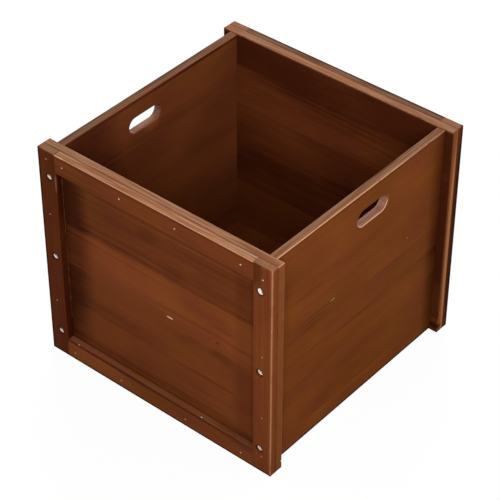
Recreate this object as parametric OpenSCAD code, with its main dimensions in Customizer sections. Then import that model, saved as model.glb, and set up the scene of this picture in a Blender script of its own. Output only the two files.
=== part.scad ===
// Open-topped record crate in stained pine, in millimetres.
// Two framed ends and two slotted side boards stand round a thin bottom, which lies
// in a groove ploughed in all four. Each end is a glued-up panel with a frame of two
// stiles and two rails on its outer face. Brads hold the frame to the panel, and
// three countersunk screws a corner run through stile and panel into the side board.
// The origin is the centre of the footprint on the floor, with +Z up. The front end
// faces -Y. Left is -X and right is +X, for the back end too.

/* [Inside] */
// Clear width between the two side boards
inner_w = 330; // [260:1:420]
// Clear length between the two end panels
inner_l = 331; // [280:1:600]

/* [Boards] */
// Thickness of a side board
side_t = 12; // [10:0.5:15]
// Thickness of an end panel
panel_t = 12; // [12:0.5:20]
// Height of an end, which stands on the floor
end_h = 333; // [300:1:400]
// How far a side board's top lies below the top of the ends
side_drop = 1; // [0:0.5:10]
// Gap between a side board and the floor
side_lift = 2; // [0:0.5:5]
// How far an end stands out past each side board
overhang = 12; // [8:0.5:14]

/* [End frames] */
// Width of the stiles and rails
strip_w = 29; // [27:0.5:45]
// Thickness of the stiles and rails
strip_t = 11; // [7:0.5:16]

/* [Edges] */
// Radius of the eased outer edges
arris_r = 1.6; // [0.5:0.1:3]
// Radius of the edges that meet in a seam
seam_r = 0.6; // [0.2:0.1:1]

/* [Handle slots] */
// Length of a handle slot, end to end
slot_l = 59; // [40:1:100]
// Height of a handle slot
slot_h = 23; // [16:1:36]
// Drop from a side board's top to the middle of its slot
slot_drop = 40; // [30:1:90]
// How far a slot lies off the middle, to opposite ends on the two boards
slot_shift = 18; // [0:1:45]
// Radius of the rounded rim of a slot
slot_rim_r = 1.5; // [0.5:0.1:3]

/* [Bottom] */
// Thickness of the bottom
bottom_t = 4; // [3:0.5:9]
// Height of the bottom's underside above the floor
bottom_z = 9; // [7:0.5:20]
// Depth of the groove that the bottom lies in
groove_d = 4; // [2:0.5:4.5]

/* [Screws] */
// Number of screws in a stile
screws_per_stile = 3; // [2:1:4]
// Distance of the outer screws from the stile's ends
screw_inset = 39; // [34:1:50]
// Diameter of a screw's shank
screw_d = 4; // [3:0.1:4.5]
// Diameter of a screw's head
screw_head_d = 8.4; // [7:0.1:9]
// How far a screw whose head is flush would go into the side board
screw_grip = 27; // [15:1:38]
// Depth of the first stile's screw heads below its face, from the bottom up
first_sinks = [1.4, 1.0, 1.0]; // [0.4:0.1:3]
// Depth of the second stile's screw heads below its face, from the bottom up
second_sinks = [2.2, 2.2, 0.6]; // [0.4:0.1:3]

/* [Brads] */
// Diameter of a brad's shank
brad_d = 1.4; // [1:0.1:1.8]
// Diameter of a brad's head
brad_head_d = 2.4; // [2:0.1:3]
// How far a brad goes into the end panel
brad_grip = 7; // [3:0.5:7]
// Height of the bottom rail's brads above the floor
low_brad_z = 12; // [8:0.5:16]
// Places of the top rail's brads, as parts of its length
top_brads = [0.04, 0.34, 0.62, 0.94]; // [0.02:0.01:0.98]
// Places of the bottom rail's brads, as parts of its length
low_brads = [0.04, 0.30, 0.65, 0.94]; // [0.02:0.01:0.98]
// Heights of the first stile's brads, as parts of the end's height
first_brads = [0.27, 0.70, 0.96]; // [0.04:0.01:0.98]
// Heights of the second stile's brads, as parts of the end's height
second_brads = [0.08, 0.28, 0.58, 0.94]; // [0.04:0.01:0.98]

/* [Hidden] */
$fn = 48;

// Whole crate
width = inner_w + 2 * (side_t + overhang);
end_t = panel_t + strip_t;
length = inner_l + 2 * end_t;
side_h = end_h - side_drop - side_lift;
side_top = side_lift + side_h;
rail_l = width - 2 * strip_w;

// Planes of the front end, from its outer face inwards
face_y = -length / 2;
seam_y = face_y + strip_t;
inside_y = seam_y + panel_t;

// Clearances
fit = 0.15;      // round a shank, a head and the bottom's edges
head_gap = 0.5;  // round a screw head, which the countersink leaves open
over = 1;        // how far a cutter runs past the face that it cuts

// Screws, in line with the middle of the side board
screw_x = width / 2 - overhang - side_t / 2;
screw_l = strip_t + panel_t + screw_grip;
screw_point_l = 6;
screw_rim_t = 0.4;
recess_l = 4.6;
recess_w = 1.1;
recess_d = 1.6;
recess_turn = 20;
deepest_sink = max(concat(first_sinks, second_sinks));

// Brads, in the middle of their stile or rail
stile_brad_x = width / 2 - strip_w / 2;
top_brad_z = end_h - strip_w / 2;
brad_sink = 0.2;
brad_head_t = 0.7;
brad_point_l = 1.6;

end_color = [0.36, 0.17, 0.09];
side_color = [0.42, 0.21, 0.09];
sheet_color = [0.30, 0.15, 0.08];
steel_color = [0.78, 0.77, 0.72];

// ---- Boards with eased edges ----

// What a quarter round leaves over of a square corner at the origin
module corner_waste(r) {
    difference() {
        translate([-over, -over]) square(r + over);
        translate([r, r]) circle(r);
    }
}

// Rectangle from the origin with a radius for each corner, anticlockwise from there
module eased_rect(w, h, radii) {
    corners = [[0, 0], [w, 0], [w, h], [0, h]];
    difference() {
        square([w, h]);
        for (i = [0:3]) translate(corners[i]) rotate(90 * i) corner_waste(radii[i]);
    }
}

// Turns local X, Y and Z to Y, Z and X
module cycle() {
    rotate([90, 0, 90]) children();
}

// Board from the origin. Each list gives the radii of the four edges along one axis,
// anticlockwise from the edge at the origin, as seen from the axis's far end.
module eased_board(size, x_edges, y_edges, z_edges) {
    intersection() {
        linear_extrude(size.z) eased_rect(size.x, size.y, z_edges);
        cycle() linear_extrude(size.x) eased_rect(size.y, size.z, x_edges);
        cycle() cycle() linear_extrude(size.y) eased_rect(size.z, size.x, y_edges);
    }
}

// ---- Fastener places on the front end, which the back end repeats ----

// Height of screw number i of a stile
function screw_z(i) = screw_inset + i * (end_h - 2 * screw_inset) / (screws_per_stile - 1);

// Sink of screw number i, where a stile with more screws than sinks repeats the last
function sink_at(sinks, i) = sinks[min(i, len(sinks) - 1)];

// Place along X of a brad at a given part of a rail's length
function rail_brad_x(part) = (part - 0.5) * rail_l;

// Each child is drawn at a screw's place in a stile, pointing inwards along +Y
module at_screws(side, sinks) {
    for (i = [0:screws_per_stile - 1])
        translate([side * screw_x, face_y + sink_at(sinks, i), screw_z(i)])
            rotate([-90, 0, 0]) children();
}

// Each child is drawn at a rail's brads, pointing inwards along +Y
module at_rail_brads(parts, z) {
    for (part = parts)
        translate([rail_brad_x(part), face_y + brad_sink, z]) rotate([-90, 0, 0]) children();
}

// Each child is drawn at a stile's brads, pointing inwards along +Y
module at_stile_brads(side, parts) {
    for (part = parts)
        translate([side * stile_brad_x, face_y + brad_sink, part * end_h])
            rotate([-90, 0, 0]) children();
}

module at_all_brads() {
    at_rail_brads(top_brads, top_brad_z) children();
    at_rail_brads(low_brads, low_brad_z) children();
    at_stile_brads(-1, first_brads) children();
    at_stile_brads(1, second_brads) children();
}

// ---- Fasteners and the holes that they sit in, along +Z from the head's face ----

// Countersunk wood screw with a cross recess
module screw() {
    cone_h = (screw_head_d - screw_d) / 2;
    difference() {
        rotate_extrude() polygon([
            [0, 0],
            [screw_head_d / 2, 0],
            [screw_head_d / 2, screw_rim_t],
            [screw_d / 2, screw_rim_t + cone_h],
            [screw_d / 2, screw_l - screw_point_l],
            [0, screw_l]
        ]);
        for (arm = [0, 90])
            rotate(recess_turn + arm) translate([-recess_l / 2, -recess_w / 2, -over])
                cube([recess_l, recess_w, recess_d + over]);
    }
}

// Countersink and shank hole, open towards the outer face
module screw_hole() {
    hole_r = screw_d / 2 + fit;
    mouth_r = screw_head_d / 2 + head_gap;
    rotate_extrude() polygon([
        [0, -deepest_sink - over],
        [mouth_r, -deepest_sink - over],
        [mouth_r, screw_rim_t + fit],
        [hole_r, screw_rim_t + fit + mouth_r - hole_r],
        [hole_r, screw_l + over],
        [0, screw_l + over]
    ]);
}

// Flat-headed brad
module brad() {
    shank_l = strip_t - brad_sink + brad_grip;
    rotate_extrude() polygon([
        [0, 0],
        [brad_head_d / 2, 0],
        [brad_head_d / 2, brad_head_t],
        [brad_d / 2, brad_head_t],
        [brad_d / 2, shank_l - brad_point_l],
        [0, shank_l]
    ]);
}

// Hole that a brad makes, with the seat of its head
module brad_hole() {
    hole_l = strip_t - brad_sink + brad_grip + fit;
    rotate_extrude() polygon([
        [0, -brad_sink - over],
        [brad_head_d / 2 + fit, -brad_sink - over],
        [brad_head_d / 2 + fit, brad_head_t],
        [brad_d / 2 + fit, brad_head_t],
        [brad_d / 2 + fit, hole_l],
        [0, hole_l]
    ]);
}

// ---- Ends, modelled at the front ----

// Groove for the bottom, as a bar of the given length along X
module groove(bar_l) {
    translate([-bar_l / 2, -groove_d, bottom_z]) cube([bar_l, groove_d + over, bottom_t + fit]);
}

// Glued-up panel, with the groove running out at both edges
module end_panel() {
    outer = arris_r;
    difference() {
        translate([-width / 2, seam_y, 0])
            eased_board(
                [width, panel_t, end_h],
                [seam_r, outer, outer, seam_r],
                [outer, outer, outer, outer],
                [seam_r, seam_r, outer, outer]
            );
        translate([0, inside_y, 0]) groove(width + 2 * over);
        at_screws(-1, first_sinks) screw_hole();
        at_screws(1, second_sinks) screw_hole();
        at_all_brads() brad_hole();
    }
}

// Full-height stile, on the left where side is -1
module stile(side, sinks, brads) {
    outer = arris_r;
    left = side < 0;
    difference() {
        translate([left ? -width / 2 : width / 2 - strip_w, face_y, 0])
            eased_board(
                [strip_w, strip_t, end_h],
                [outer, seam_r, seam_r, outer],
                left ? [outer, outer, seam_r, seam_r] : [seam_r, seam_r, outer, outer],
                left ? [outer, seam_r, seam_r, seam_r] : [seam_r, outer, seam_r, seam_r]
            );
        at_screws(side, sinks) screw_hole();
        at_stile_brads(side, brads) brad_hole();
    }
}

// Rail between the stiles
module rail(low_z, brads, brad_z) {
    outer = arris_r;
    difference() {
        translate([-rail_l / 2, face_y, low_z])
            eased_board(
                [rail_l, strip_t, strip_w],
                [outer, seam_r, seam_r, outer],
                [seam_r, seam_r, seam_r, seam_r],
                [seam_r, seam_r, seam_r, seam_r]
            );
        at_rail_brads(brads, brad_z) brad_hole();
    }
}

// The back end is the front end turned half way round
module at_back() {
    rotate(180) children();
}

// ---- Side boards ----

// Stadium outline along X, about the origin
module stadium(l, h) {
    translate([-(l - h) / 2, -h / 2]) square([l - h, h]);
    for (end = [-1, 1]) translate([end * (l - h) / 2, 0]) circle(h / 2);
}

// What rounding a slot's rim takes away, in a face at Z = 0 with the board below it
module rim_waste() {
    reach = (slot_l - slot_h) / 2;
    for (turn = [0, 180])
        rotate(turn) {
            translate([reach, 0, 0]) rotate(-90) rotate_extrude(angle = 180)
                translate([slot_h / 2, 0]) mirror([0, 1]) corner_waste(slot_rim_r);
            translate([-reach, slot_h / 2, 0]) cycle() linear_extrude(2 * reach)
                mirror([0, 1]) corner_waste(slot_rim_r);
        }
}

// Side board on the right, with its slot shifted towards +Y
module side_board() {
    inner_x = inner_w / 2;
    outer = arris_r;
    slot_z = side_top - slot_drop;
    difference() {
        translate([inner_x, -inner_l / 2, side_lift])
            eased_board(
                [side_t, inner_l, side_h],
                [seam_r, seam_r, seam_r, seam_r],
                [outer, outer, outer, outer],
                [seam_r, seam_r, seam_r, seam_r]
            );
        translate([inner_x, 0, 0]) rotate(90) groove(inner_l + 2 * over);
        translate([inner_x - over, slot_shift, slot_z])
            cycle() linear_extrude(side_t + 2 * over) stadium(slot_l, slot_h);
        translate([inner_x + side_t, slot_shift, slot_z]) cycle() rim_waste();
        translate([inner_x, slot_shift, slot_z]) cycle() rotate([180, 0, 0]) rim_waste();
        at_screws(1, second_sinks) screw_hole();
        at_back() at_screws(-1, first_sinks) screw_hole();
    }
}

// ---- Nodes ----

module front_end_panel() {
    color(end_color) end_panel();
}

module front_left_stile() {
    color(end_color) stile(-1, first_sinks, first_brads);
}

module front_right_stile() {
    color(end_color) stile(1, second_sinks, second_brads);
}

module front_top_rail() {
    color(end_color) rail(end_h - strip_w, top_brads, top_brad_z);
}

module front_bottom_rail() {
    color(end_color) rail(0, low_brads, low_brad_z);
}

module back_end_panel() {
    color(end_color) at_back() end_panel();
}

module back_left_stile() {
    color(end_color) at_back() stile(1, second_sinks, second_brads);
}

module back_right_stile() {
    color(end_color) at_back() stile(-1, first_sinks, first_brads);
}

module back_top_rail() {
    color(end_color) at_back() rail(end_h - strip_w, top_brads, top_brad_z);
}

module back_bottom_rail() {
    color(end_color) at_back() rail(0, low_brads, low_brad_z);
}

module right_side_board() {
    color(side_color) side_board();
}

// The left board is the right one turned half way round
module left_side_board() {
    color(side_color) at_back() side_board();
}

// Thin bottom, lying on the lower side of the groove all round
module bottom_panel() {
    tongue = groove_d - 2 * fit;
    sheet_w = inner_w + 2 * tongue;
    sheet_l = inner_l + 2 * tongue;
    color(sheet_color) translate([-sheet_w / 2, -sheet_l / 2, bottom_z])
        cube([sheet_w, sheet_l, bottom_t]);
}

module front_left_screws() {
    color(steel_color) at_screws(-1, first_sinks) screw();
}

module front_right_screws() {
    color(steel_color) at_screws(1, second_sinks) screw();
}

module back_left_screws() {
    color(steel_color) at_back() at_screws(1, second_sinks) screw();
}

module back_right_screws() {
    color(steel_color) at_back() at_screws(-1, first_sinks) screw();
}

module front_rail_brads() {
    color(steel_color) {
        at_rail_brads(top_brads, top_brad_z) brad();
        at_rail_brads(low_brads, low_brad_z) brad();
    }
}

module front_stile_brads() {
    color(steel_color) {
        at_stile_brads(-1, first_brads) brad();
        at_stile_brads(1, second_brads) brad();
    }
}

module back_rail_brads() {
    at_back() front_rail_brads();
}

module back_stile_brads() {
    at_back() front_stile_brads();
}

front_end_panel();
front_left_stile();
front_right_stile();
front_top_rail();
front_bottom_rail();
back_end_panel();
back_left_stile();
back_right_stile();
back_top_rail();
back_bottom_rail();
left_side_board();
right_side_board();
bottom_panel();
front_left_screws();
front_right_screws();
back_left_screws();
back_right_screws();
front_rail_brads();
front_stile_brads();
back_rail_brads();
back_stile_brads();
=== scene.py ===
"""Looks of an open-topped record crate in stained pine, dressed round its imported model.

The boards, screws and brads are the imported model's own solids. This script gives each one
its finish, adds the squeezed-out glue that shows in the frames' corners, and sets up the
floor, the studio light and the camera. All lengths are in metres, with +Z up and the front
end facing -Y.
"""

import logging
import math
import random
from dataclasses import dataclass, replace
from enum import Enum

import bpy
from mathutils import Matrix, Vector

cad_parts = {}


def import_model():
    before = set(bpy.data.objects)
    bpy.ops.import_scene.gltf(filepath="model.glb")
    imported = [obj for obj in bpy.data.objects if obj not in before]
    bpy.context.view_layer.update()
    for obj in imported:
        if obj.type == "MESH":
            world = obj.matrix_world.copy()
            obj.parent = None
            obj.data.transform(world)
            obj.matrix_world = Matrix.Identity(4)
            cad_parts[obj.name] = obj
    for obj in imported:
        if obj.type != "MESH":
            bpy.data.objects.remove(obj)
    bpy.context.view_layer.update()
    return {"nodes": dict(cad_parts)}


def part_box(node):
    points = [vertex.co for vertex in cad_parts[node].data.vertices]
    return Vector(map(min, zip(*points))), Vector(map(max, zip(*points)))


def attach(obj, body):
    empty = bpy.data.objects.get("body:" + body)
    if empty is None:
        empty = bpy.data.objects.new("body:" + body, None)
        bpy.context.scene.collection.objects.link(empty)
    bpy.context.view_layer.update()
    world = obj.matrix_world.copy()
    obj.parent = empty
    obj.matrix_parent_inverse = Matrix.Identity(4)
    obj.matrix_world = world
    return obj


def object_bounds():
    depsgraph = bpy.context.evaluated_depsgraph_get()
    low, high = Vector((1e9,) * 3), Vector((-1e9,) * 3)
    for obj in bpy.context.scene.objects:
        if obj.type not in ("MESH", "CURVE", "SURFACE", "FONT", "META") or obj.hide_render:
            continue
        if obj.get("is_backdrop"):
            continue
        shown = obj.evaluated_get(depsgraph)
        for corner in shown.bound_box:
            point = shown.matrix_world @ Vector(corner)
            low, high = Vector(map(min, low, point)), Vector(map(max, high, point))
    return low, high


log = logging.getLogger("record_crate")

FAR = 10.0  # past this distance nothing of the crate is reached
MIDDLE = 0.5  # middle of a value that runs from 0 to 1
LOGS = 100  # by its seed, a board is cut from one of these many logs
SMOOTHING = 1  # how often a bead's mesh is divided to smooth it

Triple = tuple[float, float, float]
Colour = Triple
Range = tuple[float, float]
Box = tuple[Triple, Triple]
Socket = bpy.types.NodeSocket
Sockets = dict[str, Socket]
Value = Socket | float | Triple  # what an input is fed


class Grain(Enum):
    """Order of the axes along, across and through a board."""

    ALONG_X = (0, 2, 1)
    ALONG_Y = (1, 2, 0)
    ALONG_Z = (2, 0, 1)
    SHEET_Y = (1, 0, 2)


class Side(Enum):
    """A side of a board: its axis and its direction."""

    LEFT = (0, -1)
    RIGHT = (0, 1)
    FRONT = (1, -1)
    BACK = (1, 1)
    UNDER = (2, -1)
    TOP = (2, 1)


class MarkKind(Enum):
    """What a mark on a board is. Some dark marks are painted shade, and some pale marks and scratches
    are painted highlights.
    """

    KNOT = "pin knot"
    DARK = "patch where the stain went deep"
    PALE = "patch where the stain stayed thin"
    SCRATCH = "scratch through the stain"


KNOT, DARK, PALE, SCRATCH = MarkKind


@dataclass(frozen=True)
class Mark:
    """A knot, a patch or a scratch: an ellipsoid with a soft rim, full in a share of it."""

    kind: MarkKind
    centre: Triple
    half_size: Triple
    strength: float = 1.0
    full: float = 0.30

    def turned(self) -> "Mark":
        """The same mark on the other end, which is turned half round."""
        x, y, z = self.centre
        return replace(self, centre=(-x, -y, z))


@dataclass(frozen=True)
class Ripple:
    """A soft noise: its waves in a metre along each axis, and how many finer layers it has."""

    waves: Triple
    layers: float = 2.0


@dataclass(frozen=True)
class Band:
    """A band along an edge or a joint: how far it reaches, and how strongly it shows."""

    reach: float
    share: float


# ---- Writing node trees ----


class Recipe:
    """A node tree that is written one step at a time."""

    def __init__(self, tree: bpy.types.NodeTree) -> None:
        """Starts on the tree that the steps go into."""
        self.tree = tree

    def node(self, kind: str, *inputs: Value, **settings: object) -> bpy.types.Node:
        """Adds a node.

        Args:
            kind: the node's type name.
            inputs: what its first inputs are fed.
            settings: properties of the node to set.

        Returns:
            The new node.
        """
        made = self.tree.nodes.new(kind)
        for name, value in settings.items():
            setattr(made, name, value)
        for socket, value in zip(made.inputs, inputs):
            self.feed(socket, value)
        return made

    def feed(self, socket: Socket, value: Value) -> None:
        """Links a socket to another, or sets its value.

        Args:
            socket: the input that is fed.
            value: an output socket, a number or a sequence of numbers.
        """
        if isinstance(value, Socket):
            self.tree.links.new(value, socket)
        elif socket.type == "RGBA" and len(value) == 3:
            socket.default_value = (*value, 1.0)
        else:
            socket.default_value = value

    def math(self, operation: str, *values: Value) -> Socket:
        """Works out a number from one to three others."""
        return self.node("ShaderNodeMath", *values, operation=operation).outputs[0]

    def times(self, first: Value, *others: Value) -> Value:
        """Multiplies numbers together."""
        for other in others:
            first = self.math("MULTIPLY", first, other)
        return first

    def plus(self, value: Value, share: Value, start: Value) -> Socket:
        """Adds a share of a value to a start."""
        return self.math("MULTIPLY_ADD", value, share, start)

    def swing(self, value: Value, share: float, start: Value) -> Socket:
        """Adds a share of how far a value from 0 to 1 lies off its middle."""
        return self.plus(self.math("SUBTRACT", value, MIDDLE), share, start)

    def vector(self, operation: str, *values: Value) -> Socket:
        """Works out a vector, or a vector's length, from others."""
        made = self.node("ShaderNodeVectorMath", *values, operation=operation)
        return made.outputs["Value" if operation == "LENGTH" else "Vector"]

    def scale(self, vector: Value, factor: Value) -> Socket:
        """A vector or colour times a number."""
        made = self.node("ShaderNodeVectorMath", vector, operation="SCALE")
        self.feed(made.inputs["Scale"], factor)
        return made.outputs["Vector"]

    def split(self, vector: Value) -> tuple[Socket, ...]:
        """The three parts of a vector."""
        return tuple(self.node("ShaderNodeSeparateXYZ", vector).outputs)

    def join(self, x: Value, y: Value, z: Value) -> Socket:
        """A vector from three numbers."""
        return self.node("ShaderNodeCombineXYZ", x, y, z).outputs[0]

    def inside(self, place: Value, low: Value, high: Value) -> Socket:
        """How far a place lies inside a box, along each axis."""
        from_low = self.vector("SUBTRACT", place, low)
        return self.vector("MINIMUM", from_low, self.vector("SUBTRACT", high, place))

    def noise(self, place: Value, ripple: Ripple) -> Socket:
        """Soft noise from 0 to 1.

        Args:
            place: where it is read, in metres.
            ripple: its waves and layers.

        Returns:
            The noise's value.
        """
        made = self.node("ShaderNodeTexNoise", self.vector("MULTIPLY", place, ripple.waves))
        made.inputs["Scale"].default_value = 1.0
        made.inputs["Detail"].default_value = ripple.layers
        return made.outputs["Fac"]

    def ease(self, value: Value, low: Value, high: Value,
             start: Value = 0.0, end: Value = 1.0) -> Socket:
        """Runs smoothly from start to end while a value runs from low to high."""
        made = self.node("ShaderNodeMapRange", value, low, high, start, end,
                         interpolation_type="SMOOTHSTEP")
        return made.outputs["Result"]

    def stretch(self, value: Value, start: Value, end: Value) -> Socket:
        """Runs evenly from start to end while a value runs from 0 to 1."""
        return self.node("ShaderNodeMapRange", value, 0.0, 1.0, start, end).outputs["Result"]

    def blend(self, share: Value, first: Value, second: Value) -> Socket:
        """Blends the first colour into the second by a share from 0 to 1."""
        made = self.node("ShaderNodeMix", share, data_type="RGBA")
        ends = [socket for socket in made.inputs if socket.type == "RGBA"]
        for socket, value in zip(ends, (first, second)):
            self.feed(socket, value)
        return next(socket for socket in made.outputs if socket.type == "RGBA")

    def group(self, tree: bpy.types.NodeTree, **values: Value) -> Sockets:
        """Places a node group.

        Args:
            tree: the group.
            values: what its named inputs get, with _ for a space.

        Returns:
            Its outputs by name.
        """
        made = self.node("ShaderNodeGroup", node_tree=tree)
        for name, value in values.items():
            self.feed(made.inputs[name.replace("_", " ")], value)
        return {output.name: output for output in made.outputs}


# ---- Effects that several finishes share ----


class Effect:
    """An effect that is built once, as a shader node group whose outputs are all numbers."""

    name: str
    vectors: tuple[str, ...] = ()
    numbers: tuple[str, ...] = ()
    outputs: tuple[str, ...]

    def write(self, recipe: Recipe, given: Sockets) -> tuple[Value, ...]:
        """Writes the group's steps.

        Args:
            recipe: the group's own tree.
            given: the group's inputs by name.

        Returns:
            What each output gets, in order.
        """
        raise NotImplementedError

    def build(self) -> bpy.types.NodeTree:
        """Builds the group, with its sockets.

        Returns:
            The group.
        """
        tree = bpy.data.node_groups.new(self.name, "ShaderNodeTree")
        for names, way, kind in ((self.vectors, "INPUT", "NodeSocketVector"),
                                 (self.numbers, "INPUT", "NodeSocketFloat"),
                                 (self.outputs, "OUTPUT", "NodeSocketFloat")):
            for name in names:
                tree.interface.new_socket(name, in_out=way, socket_type=kind)
        recipe = Recipe(tree)
        given = {socket.name: socket for socket in recipe.node("NodeGroupInput").outputs}
        recipe.node("NodeGroupOutput", *self.write(recipe, given))
        return tree


@dataclass(frozen=True)
class PineFigure(Effect):
    """Growth rings, fibres, streaks, fine lines, clouds and ruddy patches of pine."""

    name = "pine_figure"
    vectors = ("Place",)
    numbers = ("Ring Pitch", "Waver", "Bend")
    outputs = ("Rings", "Fibre", "Streak", "Lines", "Cloud", "Ruddy")

    slow: Ripple = Ripple((2.0, 8.0, 8.0))
    flutter: Ripple = Ripple((8.0, 60.0, 60.0), 3.0)
    flutter_share: float = 0.08
    fibre: Ripple = Ripple((38.0, 1150.0, 1150.0))
    streak: Ripple = Ripple((3.5, 170.0, 170.0))
    lines: Ripple = Ripple((15.0, 400.0, 400.0))
    lines_range: Range = (0.38, 0.62)
    cloud: Ripple = Ripple((6.0, 15.0, 15.0), 3.0)
    ruddy: Ripple = Ripple((13.0, 20.0, 20.0))
    ruddy_range: Range = (0.36, 0.64)
    presence: Ripple = Ripple((4.0, 19.0, 19.0), 1.0)
    presence_range: Range = (0.42, 0.66)
    late_start: float = 0.35
    late_full: float = 0.88
    faintest_ring: float = 0.15

    def write(self, recipe: Recipe, given: Sockets) -> tuple[Value, ...]:
        """Writes the figure at a place in the log, whose pith lies along the first axis."""
        place = given["Place"]
        phase = recipe.math("DIVIDE", self.radius(recipe, given), given["Ring Pitch"])
        chance = recipe.node("ShaderNodeTexWhiteNoise", noise_dimensions="1D")
        recipe.feed(chance.inputs["W"], recipe.math("FLOOR", phase))
        strength = recipe.stretch(chance.outputs["Value"], self.faintest_ring, 1.0)
        presence = recipe.ease(recipe.noise(place, self.presence), *self.presence_range)
        part = recipe.math("FRACT", phase)
        rise = recipe.ease(part, self.late_start, self.late_full)
        fall = recipe.ease(part, self.late_full, 1.0, 1.0, 0.0)
        return (recipe.times(rise, fall, strength, presence),
                recipe.noise(place, self.fibre),
                recipe.noise(place, self.streak),
                recipe.ease(recipe.noise(place, self.lines), *self.lines_range),
                recipe.noise(place, self.cloud),
                recipe.ease(recipe.noise(place, self.ruddy), *self.ruddy_range))

    def radius(self, recipe: Recipe, given: Sockets) -> Socket:
        """Distance from the pith, made to waver as a tree grows."""
        place = given["Place"]
        _, across, through = recipe.split(place)
        reach = recipe.vector("LENGTH", recipe.join(0.0, across, through))
        sway = recipe.math("SUBTRACT", recipe.noise(place, self.slow), MIDDLE)
        sway = recipe.swing(recipe.noise(place, self.flutter), self.flutter_share, sway)
        return recipe.math("ADD", recipe.plus(sway, given["Waver"], reach), given["Bend"])


@dataclass(frozen=True)
class GluedStaves(Effect):
    """Staves glued edge to edge: the place across one, its joint, and three chance values."""

    name = "glued_staves"
    numbers = ("Across", "First Joint", "Width", "Seed")
    outputs = ("Local", "Joint", "Tone", "Slide", "Depth")

    joint_half: float = 0.0008

    def write(self, recipe: Recipe, given: Sockets) -> tuple[Value, ...]:
        """Writes which stave a place lies in, and where."""
        start = recipe.math("SUBTRACT", given["Across"], given["First Joint"])
        number = recipe.math("FLOOR", recipe.math("DIVIDE", start, given["Width"]))
        middle = recipe.times(recipe.math("ADD", number, MIDDLE), given["Width"])
        local = recipe.math("SUBTRACT", start, middle)
        half = recipe.times(given["Width"], 0.5)
        to_joint = recipe.math("SUBTRACT", half, recipe.math("ABSOLUTE", local))
        chance = recipe.node("ShaderNodeTexWhiteNoise", recipe.join(number, given["Seed"], 0.0),
                             noise_dimensions="2D")
        return (local, recipe.ease(to_joint, 0.0, self.joint_half, 1.0, 0.0),
                *recipe.split(chance.outputs["Color"]))


@dataclass(frozen=True)
class EdgeRub(Effect):
    """A patchy band that is 1 on the edges of a box and 0 past a reach from them."""

    name = "edge_rub"
    vectors = ("Place", "Low", "High")
    numbers = ("Reach",)
    outputs = ("Rub",)

    full: float = 0.45
    patch: Ripple = Ripple((55.0, 55.0, 55.0), 3.0)
    patch_range: Range = (0.20, 0.46)

    def write(self, recipe: Recipe, given: Sockets) -> tuple[Value, ...]:
        """Writes the band, from the second nearest side, which is as far off as the edge."""
        x, y, z = recipe.split(recipe.inside(given["Place"], given["Low"], given["High"]))
        least = recipe.math("MINIMUM", x, y)
        most = recipe.math("MAXIMUM", x, y)
        distance = recipe.math("MAXIMUM", least, recipe.math("MINIMUM", most, z))
        start = recipe.times(given["Reach"], self.full)
        near = recipe.ease(distance, start, given["Reach"], 1.0, 0.0)
        patch = recipe.ease(recipe.noise(given["Place"], self.patch), *self.patch_range)
        return (recipe.times(near, patch),)


@dataclass(frozen=True)
class StainPoolAndShade(Effect):
    """Darkening where a face meets a side of a box: gathered stain in a joint, painted shade in a
    corner.

    A side has no pool on the faces that lie along it.
    """

    name = "stain_pool_and_shade"
    vectors = ("Place", "Normal", "Low", "High")
    numbers = ("Reach",)
    outputs = ("Pool",)

    wander: Ripple = Ripple((30.0, 30.0, 30.0))
    wander_share: float = 0.5

    def write(self, recipe: Recipe, given: Sockets) -> tuple[Value, ...]:
        """Writes the pool's mask, from 1 at the side to 0 past the reach."""
        away = recipe.inside(given["Place"], given["Low"], given["High"])
        skip = recipe.scale(recipe.vector("ABSOLUTE", given["Normal"]), FAR)
        x, y, z = recipe.split(recipe.vector("ADD", away, skip))
        distance = recipe.math("MINIMUM", recipe.math("MINIMUM", x, y), z)
        wander = recipe.swing(recipe.noise(given["Place"], self.wander), self.wander_share, 1.0)
        return (recipe.ease(distance, 0.0, recipe.times(given["Reach"], wander), 1.0, 0.0),)


@dataclass(frozen=True)
class SoftSpot(Effect):
    """An ellipsoid that is 1 in the share of it that Full gives and 0 outside it."""

    name = "soft_spot"
    vectors = ("Place", "Centre", "Half Size")
    numbers = ("Full",)
    outputs = ("Spot",)

    def write(self, recipe: Recipe, given: Sockets) -> tuple[Value, ...]:
        """Writes the spot's mask."""
        away = recipe.vector("SUBTRACT", given["Place"], given["Centre"])
        reach = recipe.vector("LENGTH", recipe.vector("DIVIDE", away, given["Half Size"]))
        return (recipe.ease(reach, given["Full"], 1.0, 1.0, 0.0),)


@dataclass(frozen=True)
class SlotOutline(Effect):
    """How far a point of a side board lies outside a level slot with half-round ends."""

    name = "slot_outline"
    numbers = ("Along", "Height", "Half Straight", "Radius")
    outputs = ("Distance",)

    def write(self, recipe: Recipe, given: Sockets) -> tuple[Value, ...]:
        """Writes the distance from the slot's outline."""
        past = recipe.math("SUBTRACT", recipe.math("ABSOLUTE", given["Along"]), given["Half Straight"])
        corner = recipe.join(recipe.math("MAXIMUM", past, 0.0), given["Height"], 0.0)
        return (recipe.math("SUBTRACT", recipe.vector("LENGTH", corner), given["Radius"]),)


class Effects:
    """The shared node groups, each built once."""

    def __init__(self) -> None:
        """Builds the groups."""
        self.figure = PineFigure().build()
        self.staves = GluedStaves().build()
        self.rub = EdgeRub().build()
        self.pool = StainPoolAndShade().build()
        self.spot = SoftSpot().build()
        self.slot = SlotOutline().build()

    def mask(self, recipe: Recipe, place: Socket, mark: Mark) -> Value:
        """A mark's mask, as strong as the mark is.

        Args:
            recipe: the tree that it goes into.
            place: the place that the tree reads.
            mark: the mark.

        Returns:
            The mask.
        """
        spot = recipe.group(self.spot, Place=place, Centre=mark.centre,
                            Half_Size=mark.half_size, Full=mark.full)["Spot"]
        return recipe.times(spot, mark.strength)


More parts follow.
